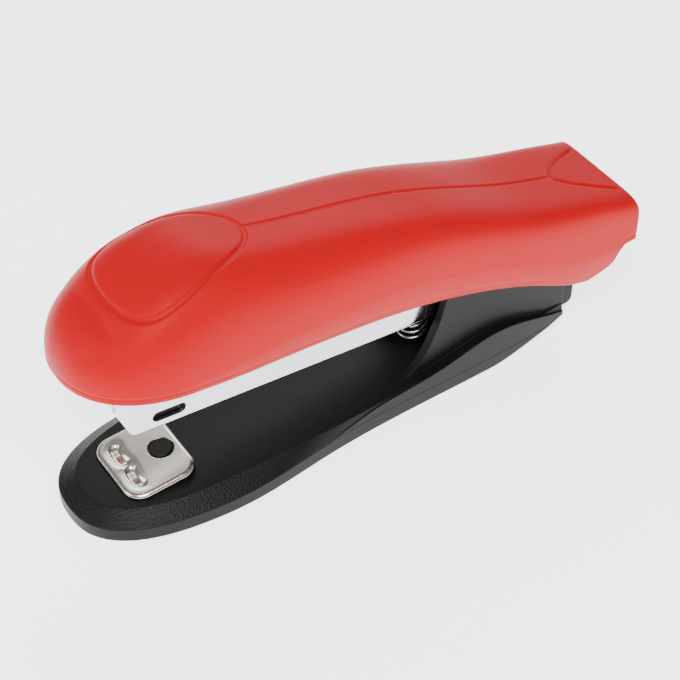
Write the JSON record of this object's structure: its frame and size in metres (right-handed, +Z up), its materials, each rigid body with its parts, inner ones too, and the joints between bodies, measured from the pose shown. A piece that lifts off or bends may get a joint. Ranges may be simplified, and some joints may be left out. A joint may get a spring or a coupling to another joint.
{
  "type": "desk stapler",
  "caption": "Small desk stapler with a rounded plastic cover, a sheet-metal staple channel, a hinged black base and a plated anvil; it drives staples, opens for loading and has a sprung follower",
  "frame": {"origin": "on the table plane under the middle of the base, at the centre of the underside's long rib", "axes": "+X runs from the mouth to the hinge, +Y is across, +Z is up; Y = 0 is the plane of symmetry"},
  "size_m": [0.1063, 0.0274, 0.0467],
  "materials": {
    "cover_plastic": "satin red plastic with a few moulded grooves",
    "base_plastic": "black plastic, leather-grained on the bevel and smooth on the sides",
    "block_plastic": "smooth black plastic",
    "nickel_sheet": "bright nickel-plated sheet",
    "anvil_nickel": "warm satin nickel",
    "dark_stud": "black oxide",
    "spring_steel": "bright spring wire",
    "steel": "plain zinc-plated steel"
  },
  "bodies": {
    "base": {"base_body": "base_plastic", "anvil_plate": "anvil_nickel", "anvil_stud": "dark_stud", "hinge_pin": "steel", "pin_clip": "steel", "lift_spring": "spring_steel"},
    "magazine": {"magazine_shell": "nickel_sheet", "staple_rail": "nickel_sheet", "rear_block": "block_plastic", "guide_rod": "steel", "rod_plate": "steel", "follower_spring": "spring_steel", "block_rivet_front": "steel", "block_rivet_rear": "steel"},
    "follower": {"staple_follower": "block_plastic"},
    "cover": {"top_cover": "cover_plastic", "pressing_arm": "nickel_sheet", "driver_blade": "steel", "blade_rivet_left": "steel", "blade_rivet_right": "steel", "arm_leaf_spring": "spring_steel", "leaf_rivet": "steel"}
  },
  "joints": [
    {"name": "magazine_hinge", "type": "hinge", "parent": "base", "child": "magazine", "pos_m": [0.037, 0, 0.0149], "axis": [0, -1, 0], "range_deg": [0, 8], "stiffness_Nm_per_rad": 1, "springref_deg": -8.59, "deforming": ["lift_spring"]},
    {"name": "cover_hinge", "type": "hinge", "parent": "magazine", "child": "cover", "pos_m": [0.037, 0, 0.0149], "axis": [0, -1, 0], "range_deg": [-60, 3.6], "stiffness_Nm_per_rad": 0.4, "springref_deg": -1.15, "deforming": ["arm_leaf_spring"]},
    {"name": "follower_slide", "type": "slide", "parent": "magazine", "child": "follower", "axis": [0.9975, 0, -0.0706], "range_m": [0, 0.028], "stiffness_N_per_m": 40, "springref_m": -0.02, "deforming": ["follower_spring"]}
  ]
}
